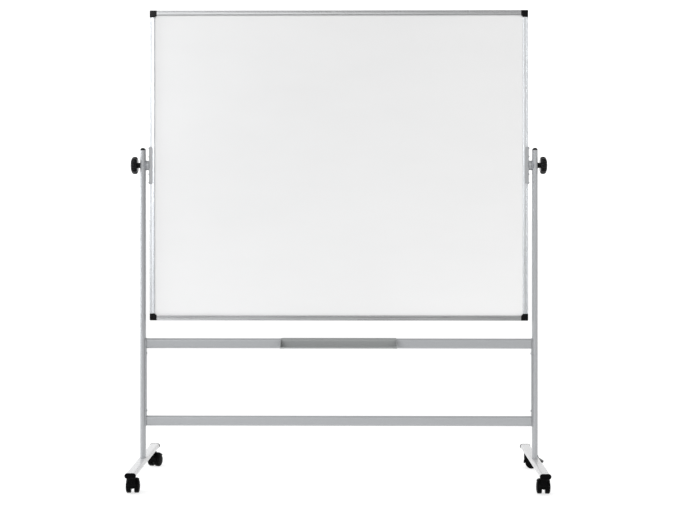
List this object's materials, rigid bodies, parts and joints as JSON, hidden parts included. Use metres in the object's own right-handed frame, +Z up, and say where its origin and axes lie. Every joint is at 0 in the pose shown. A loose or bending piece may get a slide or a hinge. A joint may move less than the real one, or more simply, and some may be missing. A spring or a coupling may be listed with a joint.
{
  "type": "rolling whiteboard",
  "caption": "Double-sided whiteboard that turns over on clamped side pivots, in a tubular stand with a sliding pen tray and braked twin-wheel castors.",
  "frame": {"origin": "on the floor, midway between the feet and below the middle of the board", "axes": "+X to the writer's right along the board, +Y from the writer through the board to its rear face, +Z up"},
  "size_m": [1.6744, 0.62, 1.864],
  "materials": {
    "enamel": "glossy white enamel",
    "panel_core": "raw board core, hidden",
    "aluminium": "satin anodised, extruded",
    "frame_paint": "silver-grey powder coat",
    "foot_paint": "pale silver, glossy",
    "zinc_steel": "zinc plated",
    "grey_plastic": "moulded grey plastic",
    "tray_metal": "satin grey",
    "black_plastic": "moulded black plastic, satin",
    "castor_plastic": "moulded black nylon"
  },
  "bodies": {
    "stand": {"upright_left": "frame_paint", "upright_right": "frame_paint", "upright_cap_left": "black_plastic", "upright_cap_right": "black_plastic", "foot_left": "foot_paint", "foot_right": "foot_paint", "foot_cap_front_left": "black_plastic", "foot_cap_front_right": "black_plastic", "foot_cap_rear_left": "black_plastic", "foot_cap_rear_right": "black_plastic", "upper_rail": "frame_paint", "lower_rail": "frame_paint", "side_plate_left": "frame_paint", "side_plate_right": "frame_paint", "pivot_spacer_left": "grey_plastic", "pivot_spacer_right": "grey_plastic", "castor_front_left_stem": "zinc_steel", "castor_front_right_stem": "zinc_steel", "castor_rear_left_stem": "zinc_steel", "castor_rear_right_stem": "zinc_steel"},
    "board": {"board_core": "panel_core", "writing_sheet_front": "enamel", "writing_sheet_rear": "enamel", "frame_top": "aluminium", "frame_bottom": "aluminium", "frame_left": "aluminium", "frame_right": "aluminium", "corner_cap_top_left": "black_plastic", "corner_cap_top_right": "black_plastic", "corner_cap_bottom_left": "black_plastic", "corner_cap_bottom_right": "black_plastic", "pivot_plate_left": "frame_paint", "pivot_plate_right": "frame_paint", "pivot_bolt_left": "zinc_steel", "pivot_bolt_right": "zinc_steel"},
    "washer_left": {"clamp_washer_left": "black_plastic"},
    "washer_right": {"clamp_washer_right": "black_plastic"},
    "knob_left": {"clamp_knob_left": "black_plastic"},
    "knob_right": {"clamp_knob_right": "black_plastic"},
    "tray": {"pen_tray": "tray_metal", "pen_tray_end_left": "tray_metal", "pen_tray_end_right": "tray_metal"},
    "castor_front_left_swivel": {"castor_front_left_hood": "castor_plastic", "castor_front_left_axle": "zinc_steel"},
    "castor_front_left_wheel_a": {"castor_front_left_wheel_a": "castor_plastic"},
    "castor_front_left_wheel_b": {"castor_front_left_wheel_b": "castor_plastic"},
    "castor_front_left_brake": {"castor_front_left_brake": "castor_plastic"},
    "castor_front_right_swivel": {"castor_front_right_hood": "castor_plastic", "castor_front_right_axle": "zinc_steel"},
    "castor_front_right_wheel_a": {"castor_front_right_wheel_a": "castor_plastic"},
    "castor_front_right_wheel_b": {"castor_front_right_wheel_b": "castor_plastic"},
    "castor_rear_left_swivel": {"castor_rear_left_hood": "castor_plastic", "castor_rear_left_axle": "zinc_steel"},
    "castor_rear_left_wheel_a": {"castor_rear_left_wheel_a": "castor_plastic"},
    "castor_rear_left_wheel_b": {"castor_rear_left_wheel_b": "castor_plastic"},
    "castor_rear_right_swivel": {"castor_rear_right_hood": "castor_plastic", "castor_rear_right_axle": "zinc_steel"},
    "castor_rear_right_wheel_a": {"castor_rear_right_wheel_a": "castor_plastic"},
    "castor_rear_right_wheel_b": {"castor_rear_right_wheel_b": "castor_plastic"},
    "castor_rear_right_brake": {"castor_rear_right_brake": "castor_plastic"}
  },
  "joints": [
    {"name": "board_spin", "type": "hinge", "parent": "stand", "child": "board", "pos_m": [0, 0, 1.249], "axis": [1, 0, 0], "continuous": true},
    {"name": "tray_slide", "type": "slide", "parent": "stand", "child": "tray", "axis": [1, 0, 0], "range_m": [-0.5, 0.5]},
    {"name": "clamp_left_travel", "type": "slide", "parent": "board", "child": "washer_left", "axis": [-1, 0, 0], "range_m": [0, 0.0026]},
    {"name": "clamp_left_turn", "type": "hinge", "parent": "washer_left", "child": "knob_left", "pos_m": [-0.81, 0, 1.249], "axis": [-1, 0, 0], "range_deg": [0, 720]},
    {"name": "clamp_right_travel", "type": "slide", "parent": "board", "child": "washer_right", "axis": [1, 0, 0], "range_m": [0, 0.0026]},
    {"name": "clamp_right_turn", "type": "hinge", "parent": "washer_right", "child": "knob_right", "pos_m": [0.81, 0, 1.249], "axis": [1, 0, 0], "range_deg": [0, 720]},
    {"name": "castor_front_left_turn", "type": "hinge", "parent": "stand", "child": "castor_front_left_swivel", "pos_m": [-0.7775, -0.255, 0.05], "axis": [0, 0, 1], "continuous": true},
    {"name": "castor_front_left_roll_a", "type": "hinge", "parent": "castor_front_left_swivel", "child": "castor_front_left_wheel_a", "pos_m": [-0.77907, -0.23506, 0.025], "axis": [0.9969, 0.0785, 0], "continuous": true},
    {"name": "castor_front_left_roll_b", "type": "hinge", "parent": "castor_front_left_swivel", "child": "castor_front_left_wheel_b", "pos_m": [-0.77907, -0.23506, 0.025], "axis": [0.9969, 0.0785, 0], "continuous": true},
    {"name": "castor_front_left_brake_press", "type": "hinge", "parent": "castor_front_left_swivel", "child": "castor_front_left_brake", "pos_m": [-0.78068, -0.21463, 0.0475], "axis": [-0.9969, -0.0785, 0], "range_deg": [0, 14]},
    {"name": "castor_front_right_turn", "type": "hinge", "parent": "stand", "child": "castor_front_right_swivel", "pos_m": [0.7775, -0.255, 0.05], "axis": [0, 0, 1], "continuous": true},
    {"name": "castor_front_right_roll_a", "type": "hinge", "parent": "castor_front_right_swivel", "child": "castor_front_right_wheel_a", "pos_m": [0.77872, -0.23504, 0.025], "axis": [0.9981, -0.061, 0], "continuous": true},
    {"name": "castor_front_right_roll_b", "type": "hinge", "parent": "castor_front_right_swivel", "child": "castor_front_right_wheel_b", "pos_m": [0.77872, -0.23504, 0.025], "axis": [0.9981, -0.061, 0], "continuous": true},
    {"name": "castor_rear_left_turn", "type": "hinge", "parent": "stand", "child": "castor_rear_left_swivel", "pos_m": [-0.7775, 0.255, 0.05], "axis": [0, 0, 1], "continuous": true},
    {"name": "castor_rear_left_roll_a", "type": "hinge", "parent": "castor_rear_left_swivel", "child": "castor_rear_left_wheel_a", "pos_m": [-0.77066, 0.27379, 0.025], "axis": [0.9397, -0.342, 0], "continuous": true},
    {"name": "castor_rear_left_roll_b", "type": "hinge", "parent": "castor_rear_left_swivel", "child": "castor_rear_left_wheel_b", "pos_m": [-0.77066, 0.27379, 0.025], "axis": [0.9397, -0.342, 0], "continuous": true},
    {"name": "castor_rear_right_turn", "type": "hinge", "parent": "stand", "child": "castor_rear_right_swivel", "pos_m": [0.7775, 0.255, 0.05], "axis": [0, 0, 1], "continuous": true},
    {"name": "castor_rear_right_roll_a", "type": "hinge", "parent": "castor_rear_right_swivel", "child": "castor_rear_right_wheel_a", "pos_m": [0.7972, 0.25153, 0.025], "axis": [-0.1736, -0.9848, 0], "continuous": true},
    {"name": "castor_rear_right_roll_b", "type": "hinge", "parent": "castor_rear_right_swivel", "child": "castor_rear_right_wheel_b", "pos_m": [0.7972, 0.25153, 0.025], "axis": [-0.1736, -0.9848, 0], "continuous": true},
    {"name": "castor_rear_right_brake_press", "type": "hinge", "parent": "castor_rear_right_swivel", "child": "castor_rear_right_brake", "pos_m": [0.81739, 0.24797, 0.0475], "axis": [0.1736, 0.9848, 0], "range_deg": [0, 14]}
  ],
  "couplings": [
    {"joint": "clamp_left_travel", "follows": "clamp_left_turn", "m_per_rad": 0.00019894},
    {"joint": "clamp_right_travel", "follows": "clamp_right_turn", "m_per_rad": 0.00019894}
  ]
}
